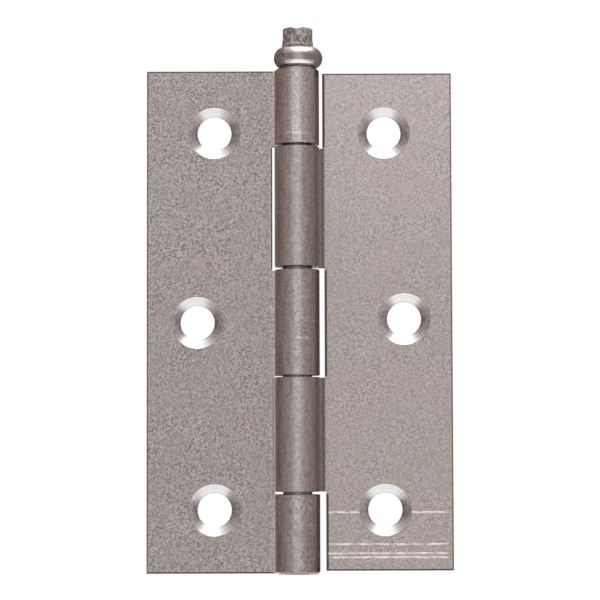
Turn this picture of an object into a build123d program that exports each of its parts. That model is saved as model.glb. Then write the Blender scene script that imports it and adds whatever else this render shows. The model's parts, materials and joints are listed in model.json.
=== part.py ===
"""Loose-pin butt hinge of pressed steel, open flat.

Two leaves folded from sheet carry five interleaved rolled knuckles on one headed pin.
Millimetres. The pin axis is Z, the origin lies on it at the bottom of the barrel,
and the countersunk faces of the leaves look along -Y.
"""

import os
from math import acos, asin, atan, cos, degrees, radians, sin

from build123d import *

# Sheet and pin
sheet_thickness = 1.5
pin_diameter = 5.8
pin_clearance = 0.05
closed_gap = 3.8
edge_break = 0.3
knuckle_break = 0.1
barrel_end_break = 0.45

# Knuckles and the gaps between them, from the bottom of the barrel to the top
bottom_knuckle = 15.65
bottom_gap = 0.5
lower_knuckle = 22.6
lower_gap = 0.35
middle_knuckle = 20.95
upper_gap = 0.6
upper_knuckle = 23.9
top_gap = 0.45
top_knuckle = 15.2
seam_gap = 0.2

# Leaves, measured from the pin axis and from the ends of the barrel
frame_leaf_reach = 30.0
door_leaf_reach = 30.9
tongue_root = 0.8
door_leaf_inset = 0.5

# Clearance between the barrel and the edge of each notch; the shallowest one is also where
# the tongues of that leaf begin to bend
frame_lower_notch = 0.05
frame_upper_notch = 0.5
door_bottom_notch = 1.2
door_middle_notch = 1.0
door_top_notch = 0.65

# Screw holes, measured from the outer edge of each leaf and from the ends of the barrel
hole_diameter = 6.8
countersink_diameter = 10.4
hole_land = 0.35
end_hole_edge = 13.5
end_hole_inset = 12.5
frame_middle_hole_edge = 10.1
frame_middle_hole_lift = -0.35
door_middle_hole_edge = 9.6
door_middle_hole_lift = 0.3

# Pin head: a bead upset from the wire, with the gripped stub left standing above it
pin_recess = 0.8
pin_tip_chamfer = 0.7
seat_clearance = 0.05
bead_offset = 0.3
neck_diameter = 7.0
neck_height = 0.15
bead_diameter = 9.7
bead_crown = 2.25
bead_middle = 2.15
bead_underside = 0.45
bead_crest_diameter = 7.0
stub_base_diameter = 6.45
stub_diameter = 6.05
stub_height = 3.8
stub_offset = 0.2
stub_flare_height = 1.4
stub_top_chamfer = 0.2
stub_across_flats = 5.75
stub_flats = 8
stub_turn = 6
stub_dish_width = 2.2
stub_dish_depth = 0.3

# Sizes that follow from those above
bore_radius = pin_diameter / 2 + pin_clearance
barrel_radius = bore_radius + sheet_thickness
roll_radius = bore_radius + sheet_thickness / 2
leaf_front = closed_gap / 2
leaf_middle = leaf_front + sheet_thickness / 2
leaf_back = leaf_front + sheet_thickness
front_face = Plane.XZ.offset(-leaf_front)
countersink_depth = sheet_thickness - hole_land
countersink_slope = (countersink_diameter - hole_diameter) / 2 / countersink_depth
countersink_angle = 2 * degrees(atan(countersink_slope))


def knuckle_spans(lengths, gaps):
    """Bottom and top height of each knuckle, stacked from zero with a gap above each but the last."""
    spans = []
    low = 0.0
    for length, gap in zip(lengths, (*gaps, 0.0)):
        spans.append((low, low + length))
        low += length + gap
    return spans


knuckles = knuckle_spans(
    (bottom_knuckle, lower_knuckle, middle_knuckle, upper_knuckle, top_knuckle),
    (bottom_gap, lower_gap, upper_gap, top_gap),
)
frame_knuckles = knuckles[0::2]
door_knuckles = knuckles[1::2]
barrel_top = knuckles[-1][1]


def rolled_knuckle(bend_line, low, high):
    """One tongue of the leaf at +X: a reverse bend from the bend line, then the roll round the pin.

    The bend starts level with the leaf and ends tangent to the roll, which fixes its radius.
    The roll goes round the back, the far side and the front, and its lip stops a seam gap
    short of the bend. The root runs into the leaf, past its deepest notch.
    """
    root = bend_line + tongue_root
    rise = roll_radius - leaf_middle
    bend_radius = (bend_line**2 / rise - roll_radius - leaf_middle) / 2
    bend_front = bend_radius + sheet_thickness / 2
    bend_back = bend_radius - sheet_thickness / 2
    bend_centre = (bend_line, leaf_middle + bend_radius)
    bend_reach = roll_radius + bend_radius
    bend_angle = degrees(acos(bend_centre[1] / bend_reach))
    join_angle = 90 - bend_angle
    lip_reach = bend_front + seam_gap
    lip_cosine = (bend_reach**2 + barrel_radius**2 - lip_reach**2) / (2 * bend_reach * barrel_radius)
    lip_angle = join_angle - degrees(acos(lip_cosine))
    roll_angle = 360 - (join_angle - lip_angle)
    lip_way = Vector(cos(radians(lip_angle)), sin(radians(lip_angle)))
    with BuildPart() as knuckle:
        with BuildSketch(Plane.XY.offset(low)):
            with BuildLine():
                Polyline(
                    (bend_line, leaf_back),
                    (root, leaf_back),
                    (root, leaf_front),
                    (bend_line, leaf_front),
                )
                CenterArc(bend_centre, bend_front, 270, -bend_angle)
                CenterArc((0, 0), bore_radius, join_angle, roll_angle)
                Line(lip_way * bore_radius, lip_way * barrel_radius)
                CenterArc((0, 0), barrel_radius, join_angle, roll_angle)
                CenterArc(bend_centre, bend_back, 270, -bend_angle)
            make_face()
        extrude(amount=high - low)
        for side, is_barrel_end in ((0, low == 0), (-1, high == barrel_top)):
            end_edges = knuckle.faces().filter_by(Axis.Z).sort_by(Axis.Z)[side].edges()
            end_break = barrel_end_break if is_barrel_end else knuckle_break
            chamfer(end_edges - end_edges.group_by(Axis.X)[-1], end_break)
    return knuckle.part


def leaf_at_right(reach, bottom, top, spans, notches, holes):
    """A leaf that reaches to +X: the notched plate with its countersunk holes, and its knuckles.

    Each notch is a bottom height, a top height and a clearance from the barrel.
    The plate's outer edges are broken, and its notched edge stays sharp.
    """
    bend_clearance = min(clearance for _, _, clearance in notches)
    bend_line = barrel_radius + bend_clearance
    with BuildPart() as leaf:
        with BuildSketch(front_face):
            with Locations((bend_line, bottom)):
                Rectangle(reach - bend_line, top - bottom, align=(Align.MIN, Align.MIN))
            for low, high, clearance in notches:
                if clearance > bend_clearance:
                    with Locations((bend_line, low)):
                        Rectangle(
                            clearance - bend_clearance,
                            high - low,
                            align=(Align.MIN, Align.MIN),
                            mode=Mode.SUBTRACT,
                        )
        extrude(amount=-sheet_thickness)
        face_edges = leaf.faces().filter_by(Axis.Y).edges()
        chamfer(face_edges.filter_by(lambda edge: edge.center().X > reach / 2), edge_break)
        with Locations(front_face):
            with Locations(*holes):
                CounterSinkHole(
                    radius=hole_diameter / 2,
                    counter_sink_radius=countersink_diameter / 2,
                    counter_sink_angle=countersink_angle,
                )
        for low, high in spans:
            add(rolled_knuckle(bend_line, low, high))
    return leaf.part


def hole_places(reach, middle_edge, middle_lift):
    """Centres of the two end holes and of the middle hole, which stands nearer the outer edge."""
    end_hole = reach - end_hole_edge
    return [
        (end_hole, end_hole_inset),
        (reach - middle_edge, barrel_top / 2 + middle_lift),
        (end_hole, barrel_top - end_hole_inset),
    ]


# Frame leaf, at the left, with the bottom, middle and top knuckles
frame_holes = hole_places(frame_leaf_reach, frame_middle_hole_edge, frame_middle_hole_lift)
frame_notches = [
    (frame_knuckles[0][1], frame_knuckles[1][0], frame_lower_notch),
    (frame_knuckles[1][1], frame_knuckles[2][0], frame_upper_notch),
]
with BuildPart() as frame_leaf:
    add(leaf_at_right(frame_leaf_reach, 0, barrel_top, frame_knuckles, frame_notches, frame_holes))
    mirror(about=Plane.YZ, mode=Mode.REPLACE)

# Door leaf, at the right, a little shorter, with the two knuckles between
door_holes = hole_places(door_leaf_reach, door_middle_hole_edge, door_middle_hole_lift)
door_bottom = door_leaf_inset
door_top = barrel_top - door_leaf_inset
door_notches = [
    (door_bottom, door_knuckles[0][0], door_bottom_notch),
    (door_knuckles[0][1], door_knuckles[1][0], door_middle_notch),
    (door_knuckles[1][1], door_top, door_top_notch),
]
with BuildPart() as door_leaf:
    add(leaf_at_right(door_leaf_reach, door_bottom, door_top, door_knuckles, door_notches, door_holes))

# Hinge pin, which rests with the neck of its bead on the top knuckle
pin_radius = pin_diameter / 2
neck_radius = neck_diameter / 2
stub_radius = stub_diameter / 2
bead_seat = barrel_top + seat_clearance

# The bead's side is one arc, from the edge of its underside up to its crest
crown_centre = (bead_diameter / 2 - bead_crown, bead_middle)
crown_drop = bead_middle - neck_height - bead_underside
crown_bottom = -degrees(asin(crown_drop / bead_crown))
crown_top = degrees(acos((bead_crest_diameter / 2 - crown_centre[0]) / bead_crown))
crest_height = bead_middle + bead_crown * sin(radians(crown_top))

bead_top = bead_seat + crest_height
stub_flare_top = bead_top + stub_flare_height
stub_top = bead_top + stub_height
bead_waist = bead_seat + bead_middle
stub_base_radius = stub_base_diameter / 2
with BuildPart() as hinge_pin:
    # The stub flares into the bead and stands a little off the pin's axis
    with BuildSketch(Plane((stub_offset, 0, 0), x_dir=(1, 0, 0), z_dir=(0, -1, 0))) as stub_half:
        with BuildLine():
            Polyline(
                (stub_radius, stub_flare_top),
                (stub_radius, stub_top),
                (0, stub_top),
                (0, bead_waist),
                (stub_base_radius, bead_waist),
                (stub_base_radius, bead_top),
            )
            TangentArc(
                (stub_radius, stub_flare_top),
                (stub_base_radius, bead_top),
                tangent=(0, -1),
            )
        make_face()
        stub_corner = stub_half.vertices().group_by(Axis.Y)[-1].sort_by(Axis.X)[-1]
        chamfer(stub_corner, stub_top_chamfer)
    revolve(axis=Axis((stub_offset, 0, 0), (0, 0, 1)))

    # The die leaves flats round the stub
    with BuildSketch(Plane((stub_offset, 0, stub_flare_top))):
        Circle(stub_base_radius)
        RegularPolygon(
            stub_across_flats / 2,
            stub_flats,
            major_radius=False,
            rotation=stub_turn - 180 / stub_flats,
            mode=Mode.SUBTRACT,
        )
    extrude(amount=stub_height, mode=Mode.SUBTRACT)

    # Shearing leaves a shallow dish across the top of the stub
    dish_radius = (stub_dish_width**2 / 4 + stub_dish_depth**2) / (2 * stub_dish_depth)
    with Locations((0, 0, stub_top - stub_dish_depth + dish_radius)):
        Cylinder(dish_radius, bead_diameter, rotation=(90, 0, 0), mode=Mode.SUBTRACT)

    # The wire runs down through the knuckles
    with BuildSketch(Plane.XZ) as wire_half:
        with Locations((0, pin_recess)):
            Rectangle(pin_radius, bead_waist - pin_recess, align=(Align.MIN, Align.MIN))
        tip_corner = wire_half.vertices().group_by(Axis.Y)[0].sort_by(Axis.X)[-1]
        chamfer(tip_corner, pin_tip_chamfer)
    revolve(axis=Axis.Z)

    # The bead stands off the axis too
    with BuildSketch(Plane((bead_offset, 0, bead_seat), x_dir=(1, 0, 0), z_dir=(0, -1, 0))):
        with BuildLine():
            side = CenterArc(crown_centre, bead_crown, crown_bottom, crown_top - crown_bottom)
            Polyline(
                side @ 1,
                (0, crest_height),
                (0, 0),
                (neck_radius, 0),
                (neck_radius, neck_height),
                side @ 0,
            )
        make_face()
    revolve(axis=Axis((bead_offset, 0, 0), (0, 0, 1)))

frame_leaf.part.label = "frame_leaf"
door_leaf.part.label = "door_leaf"
hinge_pin.part.label = "hinge_pin"

os.makedirs("parts", exist_ok=True)
export_step(frame_leaf.part, "parts/frame_leaf.step")
export_step(door_leaf.part, "parts/door_leaf.step")
export_step(hinge_pin.part, "parts/hinge_pin.step")
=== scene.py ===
# %% [markdown]
# A loose-pin butt hinge, open flat, as a studio picture.
# Its three solids come from the packed frame and already have their true shape: two pressed
# leaves whose knuckles interleave, and a pin with a bead near its top end.
# What is left for Blender is the light and the steel: grain, streaks, cut rings and wear, and some
# painted light and shade.

# %% Load the packed hinge
import json
from math import cos, pi, radians, sin

import bpy
from mathutils import Matrix, Vector


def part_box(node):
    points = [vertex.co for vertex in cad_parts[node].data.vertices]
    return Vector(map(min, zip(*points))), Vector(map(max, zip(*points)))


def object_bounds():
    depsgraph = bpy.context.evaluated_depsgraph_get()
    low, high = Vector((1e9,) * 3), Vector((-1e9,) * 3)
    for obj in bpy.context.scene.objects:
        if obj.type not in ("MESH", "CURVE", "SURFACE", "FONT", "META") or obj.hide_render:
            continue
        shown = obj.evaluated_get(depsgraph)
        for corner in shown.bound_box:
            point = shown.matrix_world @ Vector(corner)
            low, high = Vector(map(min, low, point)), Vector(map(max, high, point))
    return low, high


MM = 0.001
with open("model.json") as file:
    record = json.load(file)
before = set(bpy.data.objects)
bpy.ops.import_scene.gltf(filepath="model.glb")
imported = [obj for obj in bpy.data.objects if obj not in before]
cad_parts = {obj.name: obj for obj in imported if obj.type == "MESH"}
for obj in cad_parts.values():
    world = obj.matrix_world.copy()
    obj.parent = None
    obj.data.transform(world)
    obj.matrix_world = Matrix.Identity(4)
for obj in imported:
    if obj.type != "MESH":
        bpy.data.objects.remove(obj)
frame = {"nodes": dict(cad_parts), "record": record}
cad_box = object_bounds()
nodes = frame["nodes"]
print("nodes", sorted(nodes))
print("cad box in mm", [[round(v / MM, 2) for v in corner] for corner in cad_box])

# %% [markdown]
# The sizes that the finishes follow are read from the frame, so that they stay on the object.
# The frame leaf reaches one barrel radius past the pin's axis, which gives that radius.
# The record states every screw hole, and the face that lies on the door frame.
# The finishes measure in millimetres. A length in metres, Blender's own unit, has a name that
# ends in _m.

# %% Measure the hinge
mounts = {mount["name"]: mount for mount in frame["record"]["mounts"]}
sheet_thickness = 1.5
barrel_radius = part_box("frame_leaf")[1].x / MM
barrel_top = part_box("frame_leaf")[1].z / MM
leaf_back = mounts["frame_leaf_back"]["pos_m"][1] / MM
leaf_front = leaf_back - sheet_thickness


def hole_centres(leaf):
    """Centres, x and z, of the leaf's screw holes: each stated pattern is a vertical row."""
    centres = []
    for mount in mounts.values():
        if mount["kind"] == "bolt_pattern" and mount["name"].startswith(leaf):
            x, _, z = (value / MM for value in mount["pos_m"])
            half_row = mount["dims"]["spacing_y_mm"] / 2
            heights = {z - half_row, z + half_row}
            centres += [(x, height) for height in sorted(heights)]
    return centres


print("barrel radius", round(barrel_radius, 2), "leaf front", round(leaf_front, 2))
print("holes", hole_centres("frame_leaf"), hole_centres("door_leaf"))

# %% [markdown]
# The photograph looks straight at the countersunk faces, from low down: the front rims of the
# upper knuckles curve upward. The camera therefore stands in the lower part of the hinge, tilts up
# a little, and a small lens shift frames the hinge as the picture does. A very small roll
# follows the picture's own lean.

# %% Place the camera
eye_x = 0.54
eye_distance = 460.0
eye_height = 23.0
eye_pitch = radians(3.45)
eye_roll = radians(0.158)
eye_lens = 139.42
eye_sensor = 36.0
eye_shift = 0.0282
nearest_seen_m = 0.01

forward = Vector((0, cos(eye_pitch), sin(eye_pitch)))
level_right = Vector((1, 0, 0))
level_up = level_right.cross(forward)
right = level_right * cos(eye_roll) - level_up * sin(eye_roll)
up = level_right * sin(eye_roll) + level_up * cos(eye_roll)
eye_turn = Matrix((right, up, -forward)).transposed()
eye_place_m = Vector((eye_x, -eye_distance, eye_height)) * MM

camera_data = bpy.data.cameras.new("photo_camera")
camera_data.lens = eye_lens
camera_data.sensor_width = eye_sensor
camera_data.shift_y = eye_shift
camera_data.clip_start = nearest_seen_m
camera = bpy.data.objects.new("photo_camera", camera_data)
camera.matrix_world = Matrix.Translation(eye_place_m) @ eye_turn.to_4x4()
bpy.context.scene.collection.objects.link(camera)
bpy.context.scene.camera = camera
print("camera at", [round(v, 4) for v in camera.location])

# %% [markdown]
# A node tree is easier to read as a calculation than as a drawing. Each method below adds
# one node, or a short chain, and gives back its output, so a pattern is built by calling one
# inside another.

# %% Write nodes as a calculation
odd_turn = (0.6, 0.9, 0.4)
noise_middle = 0.5

# Places of a colour mix's sockets, whose names repeat for every kind of data
mix_share = 0
mix_first = 6
mix_second = 7
mix_colour = 2


class NodeSheet:
    """One node tree. A value given to a method is a plain value or another node's output."""

    def __init__(self, tree):
        self.tree = tree
        tree.nodes.clear()

    def node(self, kind, **settings):
        """Add a node and set its own properties."""
        node = self.tree.nodes.new(kind)
        for name, value in settings.items():
            setattr(node, name, value)
        return node

    def feed(self, socket, value):
        """Link an output to a socket, or write a plain value on it: a vector takes no alpha."""
        if isinstance(value, bpy.types.NodeSocket):
            self.tree.links.new(value, socket)
        elif isinstance(value, tuple):
            socket.default_value = value[: len(socket.default_value)]
        else:
            socket.default_value = value

    def math(self, operation, first, second=0.0):
        """One step of arithmetic."""
        node = self.node("ShaderNodeMath", operation=operation)
        self.feed(node.inputs[0], first)
        self.feed(node.inputs[1], second)
        return node.outputs[0]

    def chain(self, operation, values):
        """The same step of arithmetic from the first value to the last."""
        result = values[0]
        for value in values[1:]:
            result = self.math(operation, result, value)
        return result

    def total(self, *values):
        """Sum of the values."""
        return self.chain("ADD", values)

    def product(self, *values):
        """Product of the values."""
        return self.chain("MULTIPLY", values)

    def largest(self, *values):
        """Largest of the values."""
        return self.chain("MAXIMUM", values)

    def minus(self, first, second):
        """First value less the second."""
        return self.math("SUBTRACT", first, second)

    def opposite(self, share):
        """What a share leaves over."""
        return self.minus(1.0, share)

    def absolute(self, value):
        """The value without its sign."""
        return self.math("ABSOLUTE", value)

    def rise(self, value, low, high, start=0.0, end=1.0):
        """Smooth step from start to end while the value goes from low to high."""
        node = self.node("ShaderNodeMapRange", interpolation_type="SMOOTHSTEP")
        self.feed(node.inputs["Value"], value)
        self.feed(node.inputs["From Min"], low)
        self.feed(node.inputs["From Max"], high)
        self.feed(node.inputs["To Min"], start)
        self.feed(node.inputs["To Max"], end)
        return node.outputs["Result"]

    def fall(self, value, low, high):
        """Smooth step from 1 down to 0 while the value goes from low to high."""
        return self.rise(value, low, high, 1.0, 0.0)

    def band(self, value, low, high, soft):
        """1 while the value is between low and high, fading to 0 within the soft distance outside."""
        above = self.rise(value, low - soft, low)
        below = self.fall(value, high, high + soft)
        return self.product(above, below)

    def scaled(self, vector, factors):
        """The vector, or the colour, with each of its three parts multiplied by its own factor."""
        node = self.node("ShaderNodeVectorMath", operation="MULTIPLY")
        self.feed(node.inputs[0], vector)
        self.feed(node.inputs[1], factors)
        return node.outputs["Vector"]

    def shade(self, colour, factor):
        """Colour multiplied by a number."""
        node = self.node("ShaderNodeVectorMath", operation="SCALE")
        self.feed(node.inputs[0], colour)
        self.feed(node.inputs["Scale"], factor)
        return node.outputs["Vector"]

    def blend(self, share, first, second):
        """Colour that goes from first to second as the share goes from 0 to 1."""
        node = self.node("ShaderNodeMix", data_type="RGBA")
        self.feed(node.inputs[mix_share], share)
        self.feed(node.inputs[mix_first], first)
        self.feed(node.inputs[mix_second], second)
        return node.outputs[mix_colour]

    def parts(self, vector):
        """The x, y and z of a vector."""
        node = self.node("ShaderNodeSeparateXYZ")
        self.feed(node.inputs[0], vector)
        return tuple(node.outputs)

    def distance(self, across, along):
        """Length of a flat vector with these two parts."""
        squares = self.total(self.math("POWER", across, 2.0), self.math("POWER", along, 2.0))
        return self.math("SQRT", squares)

    def tilted(self, vector):
        """The vector turned by odd angles, so that a noise shows none of its own grid."""
        node = self.node("ShaderNodeMapping")
        self.feed(node.inputs["Vector"], vector)
        self.feed(node.inputs["Rotation"], odd_turn)
        return node.outputs["Vector"]

    def noise(self, vector, scale, detail=2.0, roughness=0.5):
        """Noise from 0 to 1, with its coarsest detail one over the scale wide."""
        node = self.node("ShaderNodeTexNoise")
        self.feed(node.inputs["Vector"], vector)
        self.feed(node.inputs["Scale"], scale)
        self.feed(node.inputs["Detail"], detail)
        self.feed(node.inputs["Roughness"], roughness)
        return node.outputs["Fac"]

    def centred(self, value):
        """How far a noise, or a value drawn from one, is from its middle."""
        return self.minus(value, noise_middle)

    def own_normal(self):
        """Direction that the surface faces, as it is at rest: the same when the piece turns."""
        turned_back = self.node(
            "ShaderNodeVectorTransform",
            vector_type="NORMAL",
            convert_from="WORLD",
            convert_to="OBJECT",
        )
        faced = self.node("ShaderNodeNewGeometry").outputs["True Normal"]
        self.feed(turned_back.inputs[0], faced)
        return turned_back.outputs[0]


print("node methods", sorted(name for name in vars(NodeSheet) if not name.startswith("_")))

# %% [markdown]
# Steel shows its room. The picture's barrel has one cool stripe that fades into brown sides, which
# grow darker outward, and a black line at its limb. So the room has a bright wall in front, brown
# walls that darken away from it, dark corners behind them, and a narrow white wall at the back,
# which is the picture's own background.
# Overhead and below it is white, but only near the middle, because the white crescents of the
# countersinks end soon to either side.
# A world colour that depends only on direction gives all this without any card in the way of
# the other views. The camera itself sees plain white everywhere.

# %% Light the room from its walls
white = (1.0, 1.0, 1.0, 1.0)
room_front = (1.20, 1.22, 1.24, 1.0)
room_near = (0.67, 0.585, 0.56, 1.0)
room_left = (0.44, 0.335, 0.31, 1.0)
room_right = (0.45, 0.365, 0.335, 1.0)
room_corner = (0.11, 0.09, 0.085, 1.0)
front_turn = radians(1.0)
corner_turn = radians(-14.0)
left_to_right = (-0.2, 0.2)
front_limits = (radians(6.0), radians(37.0))
near_limits = (radians(30.0), radians(100.0))
corner_limits = (radians(112.0), radians(126.0))
back_limits = (radians(159.0), radians(165.0))
lid_side = 0.15
lid_narrowing = 0.55
lid_limits = (0.35, 0.6)

bpy.context.scene.view_settings.view_transform = "Standard"
world = bpy.data.worlds.new("studio_room")
world.use_nodes = True
bpy.context.scene.world = world
room = NodeSheet(world.node_tree)
side, away, upward = room.parts(room.node("ShaderNodeTexCoord").outputs["Generated"])
level = room.distance(side, away)


def angle_from_front(turn):
    """Level angle between a direction and the front of the room, turned to the right."""
    along_front = room.total(room.product(side, sin(turn)), room.product(away, -cos(turn)))
    return room.math("ARCCOSINE", room.math("DIVIDE", along_front, level))


facing = angle_from_front(front_turn)
walls = room.blend(room.rise(side, *left_to_right), room_left, room_right)
walls = room.blend(room.rise(facing, *near_limits), room_near, walls)
walls = room.blend(room.rise(angle_from_front(corner_turn), *corner_limits), walls, room_corner)
walls = room.blend(room.rise(facing, *front_limits), room_front, walls)
walls = room.blend(room.rise(angle_from_front(0.0), *back_limits), walls, white)
off_middle = room.absolute(room.minus(side, lid_side))
lid_reach = room.minus(room.absolute(upward), room.product(off_middle, lid_narrowing))
walls = room.blend(room.rise(lid_reach, *lid_limits), walls, white)

room_paths = room.node("ShaderNodeLightPath").outputs
seen = room.largest(room_paths["Is Camera Ray"], room_paths["Is Transmission Ray"])
background = room.node("ShaderNodeBackground")
room.feed(background.inputs["Color"], room.blend(seen, walls, white))
room_output = room.node("ShaderNodeOutputWorld")
room.feed(room_output.inputs["Surface"], background.outputs["Background"])
print("world", world.name, "with", len(world.node_tree.nodes), "nodes")

# %% [markdown]
# One soft box hangs above the hinge. It makes the white crescents in the countersinks and on
# the bead, and it lights the pale floor, which sends light back up from below.

# %% Hang the soft box
box_size_m = 0.45
box_power = 1.0
box_place_m = (0.10, -0.10, 0.55)

lamp_data = bpy.data.lights.new("soft_box", "AREA")
lamp_data.shape = "SQUARE"
lamp_data.size = box_size_m
lamp_data.energy = box_power
lamp = bpy.data.objects.new("soft_box", lamp_data)
lamp.location = box_place_m
bpy.context.scene.collection.objects.link(lamp)
print("soft box radiance", round(box_power / pi / box_size_m**2, 2))

# %% [markdown]
# The hinge is held by its screws, so the floor lies a little under it and only catches a soft
# shadow. It is a strip, hardly wider than the hinge: a wide floor would carry the white of the
# countersinks too far round. A faint glow lifts it to the white of the background, where it is
# looked at or mirrored, and leaves the shadow on it.

# %% Lay the floor
floor_drop_m = 0.04
floor_half_width_m = 0.07
floor_half_depth_m = 0.30
floor_side_m = 0.01
floor_colour = (0.82, 0.82, 0.82, 1.0)
floor_lift = 0.26

floor_level_m = cad_box[0].z - floor_drop_m
left_m = floor_side_m - floor_half_width_m
right_m = floor_side_m + floor_half_width_m
near_m = -floor_half_depth_m
far_m = floor_half_depth_m
corners_m = [(left_m, near_m), (right_m, near_m), (right_m, far_m), (left_m, far_m)]
floor_mesh = bpy.data.meshes.new("floor")
floor_mesh.from_pydata([(x, y, floor_level_m) for x, y in corners_m], [], [(0, 1, 2, 3)])
floor = bpy.data.objects.new("floor", floor_mesh)
bpy.context.scene.collection.objects.link(floor)

floor_paint = bpy.data.materials.new("pale_floor")
floor_paint.use_nodes = True
paint = NodeSheet(floor_paint.node_tree)
matt = paint.node("ShaderNodeBsdfDiffuse")
matt.inputs["Color"].default_value = floor_colour
glow = paint.node("ShaderNodeEmission")
floor_paths = paint.node("ShaderNodeLightPath").outputs
ray_kinds = ("Is Camera Ray", "Is Glossy Ray", "Is Transmission Ray")
shown = paint.largest(*(floor_paths[kind] for kind in ray_kinds))
paint.feed(glow.inputs["Strength"], paint.product(shown, floor_lift))
both = paint.node("ShaderNodeAddShader")
paint.feed(both.inputs[0], matt.outputs[0])
paint.feed(both.inputs[1], glow.outputs[0])
floor_output = paint.node("ShaderNodeOutputMaterial")
paint.feed(floor_output.inputs["Surface"], both.outputs[0])
floor_mesh.materials.append(floor_paint)
print("floor level in mm", round(floor_level_m / MM, 1))

# %% [markdown]
# Every finish starts the same way: bare steel is a metal with a slightly warm tone, and its places
# are measured in millimetres from the frame's origin. The solids have true edge breaks, so the
# finish only adds relief too fine to model.

# %% Start a steel finish
metres_to_mm = (1.0 / MM, 1.0 / MM, 1.0 / MM)


def steel_finish(name):
    """A new metal material, its node sheet, its shader and the place of the shaded point."""
    finish = bpy.data.materials.new(name)
    finish.use_nodes = True
    sheet = NodeSheet(finish.node_tree)
    steel = sheet.node("ShaderNodeBsdfPrincipled")
    steel.inputs["Metallic"].default_value = 1.0
    output = sheet.node("ShaderNodeOutputMaterial")
    sheet.feed(output.inputs["Surface"], steel.outputs["BSDF"])
    metres = sheet.node("ShaderNodeTexCoord").outputs["Object"]
    return finish, sheet, steel, sheet.scaled(metres, metres_to_mm)


def fine_relief(sheet, steel, height, depth):
    """Bump of the given depth, linked to the shader."""
    bump = sheet.node("ShaderNodeBump")
    bump.inputs["Strength"].default_value = 1.0
    bump.inputs["Distance"].default_value = depth * MM
    sheet.feed(bump.inputs["Height"], height)
    sheet.feed(steel.inputs["Normal"], bump.outputs["Normal"])


def dress(node_name, finish):
    """Give a solid of the frame its finish."""
    mesh = nodes[node_name].data
    mesh.materials.clear()
    mesh.materials.append(finish)
    print(node_name, "wears", finish.name, "with", len(finish.node_tree.nodes), "nodes")


print("finishes are measured in units of", MM, "m")

# %% [markdown]
# A leaf is one piece of sheet with four kinds of surface. The plate is satin. Round the pin it was
# rolled and burnished. The countersinks were cut. The ends were sheared: sheared steel is dull, and
# its dark tone is partly painted shade. Separate materials would need separate meshes, so one finish
# holds all four, and masks worked out from the hinge's own sizes say where each one is. The first two
# masks follow distances: from the axis of the nearest screw hole, and along the notches, where
# a band of painted shade lies beside the edge as a dark line.

# %% Find the holes of a leaf and the painted shade by its notches
rim_soft = 0.1

# Distance of the notch's edge from the axis, its lower and upper end, the painted shade's width and
# force
painted_notch_shade = {
    "frame_leaf": [
        (4.95, 60.65, 84.55, 0.20, 0.9),
        (4.50, 15.65, 39.10, 0.40, 0.5),
    ],
    "door_leaf": [
        (5.10, 85.00, 99.70, 0.42, 0.9),
        (5.45, 39.10, 60.05, 0.42, 0.9),
        (5.65, 0.50, 15.65, 0.42, 0.9),
    ],
}


def nearest_hole(sheet, x, z, leaf):
    """Distance from the axis of the nearest screw hole."""
    reaches = []
    for centre_x, centre_z in hole_centres(leaf):
        reaches.append(sheet.distance(sheet.minus(x, centre_x), sheet.minus(z, centre_z)))
    return sheet.chain("MINIMUM", reaches)


def painted_rim_shade(sheet, x, z, leaf):
    """Share of painted shade beside the notches."""
    rims = []
    reach = sheet.absolute(x)
    for edge, low, high, width, force in painted_notch_shade[leaf]:
        beside = sheet.band(reach, edge - width, edge + width, rim_soft)
        rims.append(sheet.product(beside, sheet.band(z, low, high, rim_soft), force))
    return sheet.total(*rims)


print("drawn rims", {leaf: len(rows) for leaf, rows in painted_notch_shade.items()})

# %% [markdown]
# The other masks add the surface's own direction. A face that looks up or down, or sideways,
# is a sheared one, unless it belongs to the roll or to a hole; its dark tone is partly painted shade.
# The direction has to turn with the leaf, or the masks would change when the hinge closes.

# %% Find the surfaces of a leaf
countersink_radius = 5.2
countersink_soft = 0.1
below_front = (leaf_front + 0.01, leaf_front + 0.06)
above_back = (leaf_back - 0.05, leaf_back - 0.01)
knuckle_blend = (barrel_radius + 0.15, barrel_radius + 0.95)
sheared_lean = (0.35, 0.6)
notch_lean = (0.8, 0.95)
burnished_ends = (0.7, barrel_top - 0.7)
burnished_soft = 0.2
knuckle_end_share = 0.5


def leaf_masks(sheet, place, leaf, hole_distance):
    """Shares, from 0 to 1, of rolled, cut, sheared with painted shade, and plain satin surface."""
    x, y, z = sheet.parts(place)
    rolled = sheet.fall(sheet.distance(x, y), *knuckle_blend)
    flat = sheet.opposite(rolled)
    near_hole = sheet.fall(hole_distance, countersink_radius, countersink_radius + countersink_soft)
    cut = sheet.product(near_hole, sheet.rise(y, *below_front), sheet.fall(y, *above_back))
    plain = sheet.opposite(sheet.largest(rolled, cut))

    lean_x, _, lean_z = sheet.parts(sheet.own_normal())
    kept_dull = sheet.largest(sheet.band(z, *burnished_ends, burnished_soft), flat)
    ends = sheet.product(sheet.rise(sheet.absolute(lean_z), *sheared_lean), kept_dull)
    ends = sheet.product(ends, sheet.rise(flat, 0.0, 1.0, knuckle_end_share, 1.0))
    sides = sheet.product(sheet.rise(sheet.absolute(lean_x), *notch_lean), flat)
    sheared_and_shaded = sheet.product(sheet.largest(ends, sides), sheet.opposite(near_hole))
    # Painted shade beside the notches joins the sheared share.
    sheared_and_shaded = sheet.largest(sheared_and_shaded, sheet.product(painted_rim_shade(sheet, x, z, leaf), flat))
    return rolled, cut, sheared_and_shaded, plain


print("rolled within", [round(v, 2) for v in knuckle_blend], "of the axis")

# %% [markdown]
# The satin of the plate is granular: light and dark grains of about half a millimetre, strong in
# some patches and faint in others. The grain is the sum of two fine noises of different size, so
# that neither shows its own worms. A cutter left fine rings in the countersinks: there the
# noise depends only on the distance from the hole's axis, so it is the same all the way round.

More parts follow.
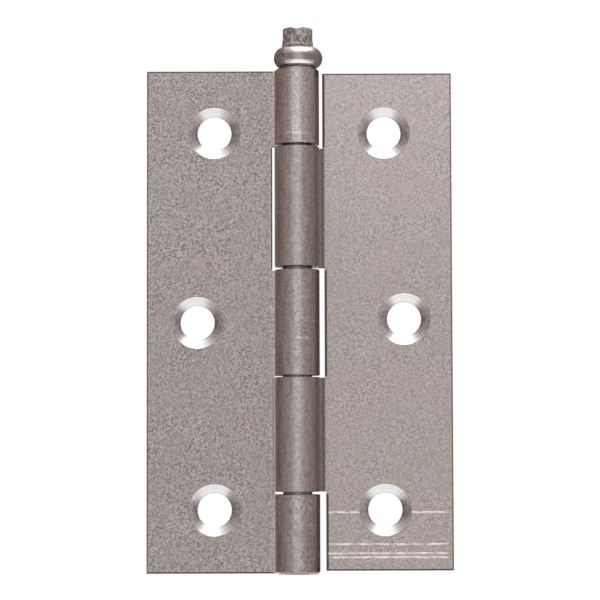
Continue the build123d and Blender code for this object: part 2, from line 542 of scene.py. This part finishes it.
# %% Draw grain and rings
coarse_grains_per_mm = 2.3
fine_grains_per_mm = 3.6
grain_detail = 0.0
grain_limits = (0.58, 1.42)
patches_per_mm = 0.25
patch_limits = (0.34, 0.66)
patch_force = (0.72, 1.15)
rings_per_mm = 2.4
ring_detail = 2.0
ring_limits = (0.25, 0.75)


def grain_of_sheet(sheet, place):
    """Grain from -0.5 to 0.5, and its force, which changes from patch to patch."""
    once_tilted = sheet.tilted(place)
    coarse = sheet.noise(once_tilted, coarse_grains_per_mm, grain_detail)
    fine = sheet.noise(sheet.tilted(once_tilted), fine_grains_per_mm, grain_detail)
    grain = sheet.rise(sheet.total(coarse, fine), *grain_limits)
    force = sheet.rise(sheet.noise(place, patches_per_mm), *patch_limits, *patch_force)
    return sheet.centred(grain), force


def turned_rings(sheet, hole_distance):
    """Rings of the cutter, from 0 to 1: a noise along the distance from the hole's axis."""
    node = sheet.node("ShaderNodeTexNoise", noise_dimensions="1D")
    sheet.feed(node.inputs["W"], hole_distance)
    sheet.feed(node.inputs["Scale"], rings_per_mm)
    sheet.feed(node.inputs["Detail"], ring_detail)
    return sheet.rise(node.outputs["Fac"], *ring_limits)


print("grains per mm", coarse_grains_per_mm, "and", fine_grains_per_mm, "rings", rings_per_mm)

# %% [markdown]
# Four long scores cross the lower part of the right leaf, where the plate slid against something
# hard. They are bright because they are fresh, and they break up where the plate is low.
# Each is a thin band of heights, limited across the plate and broken by noise.

# %% Scratch the scores
score_heights = (12.05, 5.75, 3.95, 3.15)
score_half_width = 0.12
score_soft = 0.12
score_ends = (6.3, 29.5)
score_end_soft = 0.5
score_front = (leaf_front + 0.02, leaf_front + 0.1)
score_stretch = (0.5, 1.0, 2.0)
breaks_per_mm = 1.0
worn_limits = (0.35, 0.6)
worn_share = (0.2, 0.9)


def scores(sheet, place):
    """Share of scored metal: thin level bands on the front, broken by noise along their length."""
    x, y, z = sheet.parts(place)
    lines = []
    for height in score_heights:
        lines.append(sheet.band(z, height - score_half_width, height + score_half_width, score_soft))
    breaks = sheet.noise(sheet.scaled(place, score_stretch), breaks_per_mm)
    worn = sheet.rise(breaks, *worn_limits, *worn_share)
    front = sheet.fall(y, *score_front)
    return sheet.product(sheet.total(*lines), worn, front, sheet.band(x, *score_ends, score_end_soft))


print("scores", len(score_heights))

# %% [markdown]
# Short pale rubs cross the front of the top knuckle, near its lower end, and of the middle one,
# and one short mark there is a painted highlight. Each is a thin band like a score, but shorter and
# softer.

# %% Rub the knuckles, with one painted highlight
# Height, left and right end, and how much of it is made bright
knuckle_rubs = (
    (86.95, -2.2, 2.4, 0.30),
    # This row is a painted highlight.
    (86.95, -0.6, 0.5, 0.35),
    (85.85, -0.5, 0.8, 0.30),
    (46.45, 0.0, 2.3, 0.55),
)
rub_half_width = 0.08
rub_soft = 0.2
rub_end_soft = 0.4
rub_front = (-2.0, -1.0)


def rubs(sheet, place):
    """Share of rubbed metal, and of painted highlight, on the front of the knuckles."""
    x, y, z = sheet.parts(place)
    shares = []
    for height, left, right, force in knuckle_rubs:
        across = sheet.band(z, height - rub_half_width, height + rub_half_width, rub_soft)
        along = sheet.band(x, left, right, rub_end_soft)
        shares.append(sheet.product(across, along, force))
    return sheet.product(sheet.total(*shares), sheet.fall(y, *rub_front))


print("rubs", len(knuckle_rubs))

# %% [markdown]
# The two leaves came from different strips: the right one is lighter, most of all near its top,
# and its grain is fainter. The left one's pale heights reach far past its ends, so its tone hardly
# changes along it. Wide clouds lie over both and lean to pink or to green. In the bend beside the
# barrel a painted highlight makes the left leaf a little paler, and painted shade darkens the right
# one.

# %% Tone of the plates
strips = {
    "frame_leaf": {
        "dark_tone": (0.327, 0.293, 0.281, 1.0),
        "light_tone": (0.370, 0.332, 0.319, 1.0),
        "pale_heights": (-100.0, 200.0),
        "painted_bend_tint": (1.20, 1.14, 1.15),
        "grain_contrast": 0.82,
    },
    "door_leaf": {
        "dark_tone": (0.395, 0.347, 0.333, 1.0),
        "light_tone": (0.470, 0.418, 0.410, 1.0),
        "pale_heights": (45.0, 110.0),
        "painted_bend_tint": (0.40, 0.33, 0.30),
        "grain_contrast": 0.58,
    },
}
clouds_per_mm = 0.09
cloud_detail = 3.0
cloud_raggedness = 0.6
cloud_force = 0.35
tints_per_mm = 0.07
tint_limits = (0.35, 0.65)
green = (0.985, 1.01, 0.985)
pink = (1.02, 0.99, 1.0)
bend_zone = (barrel_radius + 0.1, barrel_radius + 1.2)
bend_soft = 0.3


def plate_tone(sheet, place, strip):
    """Two tones mixed by height and by clouds, tinted in turn, then the bend's painted tint: a
    highlight on one leaf, shade on the other.
    """
    x, y, z = sheet.parts(place)
    clouds = sheet.noise(place, clouds_per_mm, cloud_detail, cloud_raggedness)
    cloud_share = sheet.product(sheet.centred(clouds), cloud_force)
    share = sheet.total(sheet.rise(z, *strip["pale_heights"]), cloud_share)
    tone = sheet.blend(share, strip["dark_tone"], strip["light_tone"])
    lean = sheet.rise(sheet.noise(place, tints_per_mm), *tint_limits)
    tone = sheet.blend(lean, sheet.scaled(tone, green), sheet.scaled(tone, pink))
    # Painted light at the bend: a highlight on the left leaf, shade on the right one.
    bend = sheet.band(sheet.distance(x, y), *bend_zone, bend_soft)
    return sheet.blend(bend, tone, sheet.scaled(tone, strip["painted_bend_tint"]))


print("strips", sorted(strips))

# %% [markdown]
# The roll has streaks along the pin and a fine mottle, and a painted highlight makes its left side a
# little paler.
# The top knuckle carries a painted highlight on its right part and a painted brown reflection on its
# left.
# On the left leaf's knuckles, painted shade darkens the front beside the wide slits.

# %% Tone of the roll
rolled_tone = (0.37, 0.337, 0.328, 1.0)
rub_and_highlight_tone = (0.72, 0.69, 0.69, 1.0)
streak_limits = (0.25, 0.75)
mottle_limits = (0.3, 0.7)
roll_change = (0.9, 1.1)
painted_light_left = (0.3 - barrel_radius, 1.3 - barrel_radius)
painted_light_gain = 1.4
top_knuckle = (barrel_top - 16.0, barrel_top - 15.0)
painted_highlight_from = (-1.9, -0.9)
painted_brown_reflection = (1.04, 0.98, 0.94, 1.0)
painted_highlight_tint = (1.20, 1.23, 1.27, 1.0)
slit_side = (barrel_radius - 0.8, barrel_radius - 0.55)
slit_front = (-1.0, 0.0)
slit_shade = 0.45


def roll_tone(sheet, place, leaf, streaks, mottle):
    """Streaked and mottled tone of the knuckles, with rubs, painted light and painted shade."""
    x, y, z = sheet.parts(place)
    roll = sheet.shade(rolled_tone, sheet.rise(streaks, *streak_limits, *roll_change))
    roll = sheet.shade(roll, sheet.rise(mottle, *mottle_limits, *roll_change))
    # Painted highlight: the left side of the roll is made paler.
    roll = sheet.shade(roll, sheet.rise(x, *painted_light_left, painted_light_gain, 1.0))
    # Painted highlight on the top knuckle's right part, and a painted brown reflection on its left.
    painted_top_tint = sheet.blend(sheet.rise(x, *painted_highlight_from), painted_brown_reflection, painted_highlight_tint)
    roll = sheet.blend(sheet.rise(z, *top_knuckle), roll, sheet.scaled(roll, painted_top_tint))
    if leaf == "frame_leaf":
        # Painted shade on the front of the knuckles beside the wide slits.
        painted_slit_shade = sheet.product(sheet.rise(x, *slit_side), sheet.fall(y, *slit_front))
        roll = sheet.shade(roll, sheet.rise(painted_slit_shade, 0.0, 1.0, 1.0, slit_shade))
        # Pale rubs, one of them a painted highlight.
        roll = sheet.blend(rubs(sheet, place), roll, rub_and_highlight_tone)
    return roll


print("rolled tone", rolled_tone[:3])

# %% [markdown]
# The countersinks are bright above and below. Their sides carry painted shade, in patches, more on
# the right than on the left and most of all at the hole. Which side it is, the direction of
# the cut cone tells.

# %% Tone of the countersinks
cut_tone = (0.84, 0.845, 0.86, 1.0)
ring_change = (0.75, 1.15)
painted_shade_lean = (0.25, 0.6)
painted_shade_reach = (3.5, 4.9)
painted_shade_levels = (0.27, 0.50)
painted_shade_sides = (-0.1, 0.1)
painted_shade_left_gain = 1.3
painted_shade_patches = (0.38, 0.62)
painted_shade_change = (0.75, 1.2)


def countersink_tone(sheet, hole_distance, rings, mottle):
    """Bright turned metal, with painted shade where the cone leans to either side."""
    lean_x = sheet.parts(sheet.own_normal())[0]
    # Painted shade on the countersinks' sides, darkest by the hole.
    painted_shade = sheet.product(
        sheet.rise(hole_distance, *painted_shade_reach, *painted_shade_levels),
        sheet.rise(lean_x, *painted_shade_sides, 1.0, painted_shade_left_gain),
        sheet.rise(mottle, *painted_shade_patches, *painted_shade_change),
    )
    painted_shade_share = sheet.rise(sheet.absolute(lean_x), *painted_shade_lean)
    kept_bright = sheet.total(1.0, sheet.product(painted_shade_share, sheet.minus(painted_shade, 1.0)))
    turned = sheet.product(sheet.rise(rings, 0.0, 1.0, *ring_change), kept_bright)
    return sheet.shade(cut_tone, turned)


print("cut tone", cut_tone[:3])

# %% [markdown]
# Now the leaf's finish can be put together: the tone first, then how rough each surface is, then
# the relief. Each masked surface is laid over the one before it.

# %% Finish the leaves
sheared_and_shade_tone = (0.08, 0.07, 0.068, 1.0)
score_tone = (0.90, 0.80, 0.77, 1.0)
along_pin = (1.0, 1.0, 0.08)
streaks_per_mm = 2.0
streak_detail = 3.0
mottle_per_mm = 1.2
rolled_grain = 0.6
satin_rough = 0.42
satin_change = 0.12
burnished_rough = 0.30
burnished_change = 0.25
cut_rough = 0.26
sheared_rough = 0.65
grain_relief = 0.7
streak_relief = 0.6
ring_relief = 0.3
leaf_relief_depth = 0.02


def leaf_finish(leaf):
    """Satin plate, streaked roll, turned countersinks and dull sheared ends for one leaf."""
    strip = strips[leaf]
    finish, sheet, steel, place = steel_finish(leaf + "_satin")
    x, _, z = sheet.parts(place)
    hole_distance = nearest_hole(sheet, x, z, leaf)
    rolled, cut, sheared_and_shaded, plain = leaf_masks(sheet, place, leaf, hole_distance)
    grain, force = grain_of_sheet(sheet, place)
    streaks = sheet.noise(sheet.scaled(place, along_pin), streaks_per_mm, streak_detail)
    mottle = sheet.noise(sheet.tilted(place), mottle_per_mm)
    rings = turned_rings(sheet, hole_distance)

    # Tone
    roll = roll_tone(sheet, place, leaf, streaks, mottle)
    tone = sheet.blend(rolled, plate_tone(sheet, place, strip), roll)
    grain_share = sheet.rise(plain, 0.0, 1.0, rolled_grain, 1.0)
    grain_shade = sheet.product(grain, force, strip["grain_contrast"], grain_share)
    tone = sheet.shade(tone, sheet.total(1.0, grain_shade))
    tone = sheet.blend(cut, tone, countersink_tone(sheet, hole_distance, rings, mottle))
    # Dark tone of sheared faces, partly painted shade, and painted shade beside the notches.
    tone = sheet.blend(sheared_and_shaded, tone, sheared_and_shade_tone)
    if leaf == "door_leaf":
        tone = sheet.blend(sheet.product(scores(sheet, place), plain), tone, score_tone)
    sheet.feed(steel.inputs["Base Color"], tone)

    # Roughness
    satin = sheet.total(satin_rough, sheet.product(grain, satin_change))
    burnish = sheet.product(sheet.centred(streaks), burnished_change)
    roughness = sheet.total(
        sheet.product(plain, satin),
        sheet.product(rolled, sheet.total(burnished_rough, burnish)),
        sheet.product(cut, cut_rough),
    )
    roughness = sheet.largest(roughness, sheet.product(sheared_and_shaded, sheared_rough))
    sheet.feed(steel.inputs["Roughness"], roughness)

    # Relief
    relief = sheet.total(
        sheet.product(grain, plain, grain_relief),
        sheet.product(streaks, rolled, streak_relief),
        sheet.product(rings, cut, ring_relief),
    )
    fine_relief(sheet, steel, relief, leaf_relief_depth)
    return finish


dress("frame_leaf", leaf_finish("frame_leaf"))
dress("door_leaf", leaf_finish("door_leaf"))

# %% [markdown]
# The pin is drawn wire. Its bead was upset in a die and is bright, with a band of painted shade round
# it, a painted highlight on its flank below, and dull, mottled ends at left and right that carry
# painted shade.
# The stub above it was gripped by the die and is dark, rough and mottled all over, with painted shade
# on its left.
# The wire inside the knuckles has a dark tone of painted shade and fine drawing lines: only a thread
# of it shows in the gaps until the pin is lifted. Heights along the pin and distances across it say
# where each of these is.

# %% Tone of the bead
bead_crest = barrel_top + 4.26
bead_radius = 4.85
painted_band_limits = (barrel_top + 1.55, barrel_top + 2.45)
painted_band_soft = 0.5
painted_flank_heights = (barrel_top + 0.9, barrel_top + 1.5)
wire_limits = (barrel_top + 0.1, barrel_top + 0.4)
ragged_reach = 2.0
dull_left = (-0.55 * bead_radius, -0.4 * bead_radius)
dull_right = (0.6 * bead_radius, 0.75 * bead_radius)
painted_shade_end_sides = (-1.0, 1.0)
spot_limits = (0.25, 0.6)
spot_change = (0.85, 1.05)
grip_limits = (0.38, 0.62)
grip_change = (0.6, 1.5)
bead_tone = (0.66, 0.63, 0.62, 1.0)
painted_band_tone = (0.31, 0.28, 0.27, 1.0)
painted_highlight_flank_tone = (0.92, 0.89, 0.87, 1.0)
painted_shade_end_tone = (0.28, 0.245, 0.25, 1.0)
painted_shade_right_tone = (0.34, 0.335, 0.31, 1.0)
painted_shade_wire_tone = (0.17, 0.155, 0.15, 1.0)


def dull_and_shaded_ends(sheet, x, bead, spots):
    """Share of the bead that is dull and carries painted shade: both its ends, beyond a ragged line.
    """
    ragged = sheet.total(x, sheet.product(sheet.centred(spots), ragged_reach))
    ends = sheet.largest(sheet.fall(ragged, *dull_left), sheet.rise(ragged, *dull_right))
    return sheet.product(bead, ends)


def bead_and_wire_tone(sheet, x, z, bead, dull_and_shaded, spots, grip):
    """Bright metal with a band of painted shade, a painted highlight on the flank below it and dull
    ends with painted shade, over the wire's painted-shade tone.
    """
    # Painted shade: the dull band round the bead.
    band = sheet.product(bead, sheet.band(z, *painted_band_limits, painted_band_soft))
    metal = sheet.blend(band, bead_tone, painted_band_tone)
    metal = sheet.shade(metal, sheet.rise(spots, *spot_limits, *spot_change))
    # Painted highlight: the pale flank under the bead.
    metal = sheet.blend(sheet.fall(z, *painted_flank_heights), metal, painted_highlight_flank_tone)
    # Painted shade on the bead's left and right ends.
    mottled_shaded_end = sheet.shade(painted_shade_end_tone, sheet.rise(grip, *grip_limits, *grip_change))
    shaded_end = sheet.blend(sheet.rise(x, *painted_shade_end_sides), mottled_shaded_end, painted_shade_right_tone)
    metal = sheet.blend(dull_and_shaded, metal, shaded_end)
    # Painted shade: the dark tone of the wire seen in the gaps.
    return sheet.blend(sheet.rise(z, *wire_limits), painted_shade_wire_tone, metal)


print("bead between", round(barrel_top, 2), "and", round(bead_crest, 2))

# %% [markdown]
# The stub takes its own tone above the bead's crest, with painted shade in the crease where the two
# meet and on the stub's left.
# Then the pin's roughness and relief follow the same shares.

# %% Finish the pin
bead_limits = (barrel_top - 0.1, barrel_top)
stub_limits = (bead_crest - 0.15, bead_crest + 0.1)
crease_limits = (bead_crest - 0.1, bead_crest + 0.5)
crease_shade = 0.35
stub_shade_side = (-1.5, -0.9)
stub_shade_level = 0.85
pale_grip = (0.36, 0.66)
stub_tone = (0.23, 0.21, 0.20, 1.0)
stub_pale = (0.66, 0.60, 0.58, 1.0)
along_wire = (1.0, 1.0, 0.03)
lines_per_mm = 5.0
spots_per_mm = 1.1
grips_per_mm = 1.3
pin_detail = 3.0
line_raggedness = 0.6
spot_raggedness = 0.6
grip_raggedness = 0.65
bright_rough = 0.17
stub_rough = 0.58
patch_rough = 0.45
spot_rough_limits = (0.3, 0.7)
spot_rough = (0.06, -0.04)
line_relief = 0.3
grip_relief = 2.5
pin_relief_depth = 0.03


def pin_finish(name):
    """Drawn wire below, a bright bead with dull ends in painted shade, and a gripped stub above."""
    finish, sheet, steel, place = steel_finish(name)
    x, _, z = sheet.parts(place)
    stub = sheet.rise(z, *stub_limits)
    bead = sheet.product(sheet.rise(z, *bead_limits), sheet.opposite(stub))
    drawn = sheet.noise(sheet.scaled(place, along_wire), lines_per_mm, pin_detail, line_raggedness)
    spots = sheet.noise(place, spots_per_mm, pin_detail, spot_raggedness)
    grip = sheet.noise(place, grips_per_mm, pin_detail, grip_raggedness)
    dull_and_shaded = dull_and_shaded_ends(sheet, x, bead, spots)

    # Tone
    metal = bead_and_wire_tone(sheet, x, z, bead, dull_and_shaded, spots, grip)
    gripped = sheet.blend(sheet.rise(grip, *pale_grip), stub_tone, stub_pale)
    # Painted shade in the crease and on the stub's left side.
    crease = sheet.rise(z, *crease_limits, crease_shade, 1.0)
    stub_left_shade = sheet.rise(x, *stub_shade_side, stub_shade_level, 1.0)
    tone = sheet.blend(stub, metal, sheet.shade(gripped, sheet.product(crease, stub_left_shade)))
    sheet.feed(steel.inputs["Base Color"], tone)

    # Roughness and relief
    roughness = sheet.total(
        bright_rough,
        sheet.product(stub, stub_rough),
        sheet.product(dull_and_shaded, patch_rough),
        sheet.rise(spots, *spot_rough_limits, *spot_rough),
    )
    sheet.feed(steel.inputs["Roughness"], roughness)
    mottled = sheet.largest(stub, dull_and_shaded)
    relief = sheet.total(sheet.product(drawn, line_relief), sheet.product(grip, mottled, grip_relief))
    fine_relief(sheet, steel, relief, pin_relief_depth)
    return finish


dress("hinge_pin", pin_finish("drawn_pin_steel"))

# %% [markdown]
# The dressed hinge must keep the size of the solids; the box of the solids is printed where they are
# loaded.
